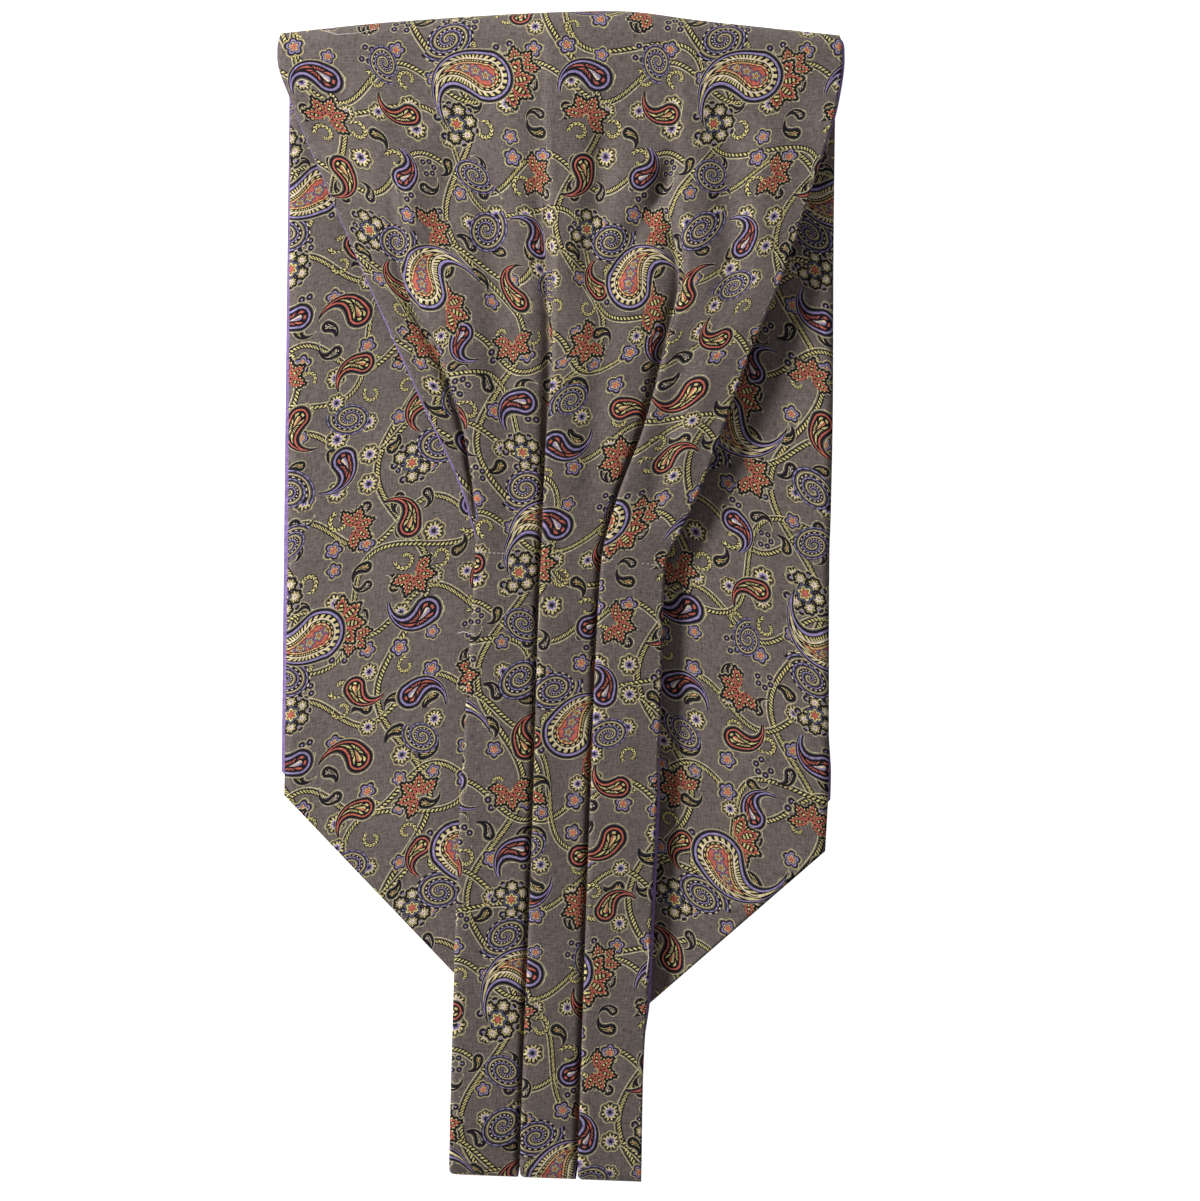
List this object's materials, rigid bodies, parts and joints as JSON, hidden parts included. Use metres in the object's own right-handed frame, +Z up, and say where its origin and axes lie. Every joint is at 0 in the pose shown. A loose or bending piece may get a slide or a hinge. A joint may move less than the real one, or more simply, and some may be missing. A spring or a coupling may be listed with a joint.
{
  "type": "pleated day cravat",
  "caption": "Pleated cotton day cravat, folded in half along its neckband and laid flat, with a broad pointed blade under the pleated fall.",
  "frame": {"origin": "centre of the bounding box at the surface the cravat lies on", "axes": "+Z up from that surface, +Y along the cravat from the neckband's end towards the soft fold at the top, +X to the right seen from above"},
  "size_m": [0.1589, 0.3286, 0.0162],
  "materials": {
    "print": "matte printed cotton, taupe ground with a small-figured paisley",
    "lining": "matte plain purple cotton"
  },
  "bodies": {
    "root": {"under_blade": "print", "under_blade_lining": "lining", "top_blade": "print", "front_fall": "print", "front_fall_lining": "lining", "neckband": "print", "neckband_lining": "lining", "second_half": "print"}
  },
  "joints": []
}
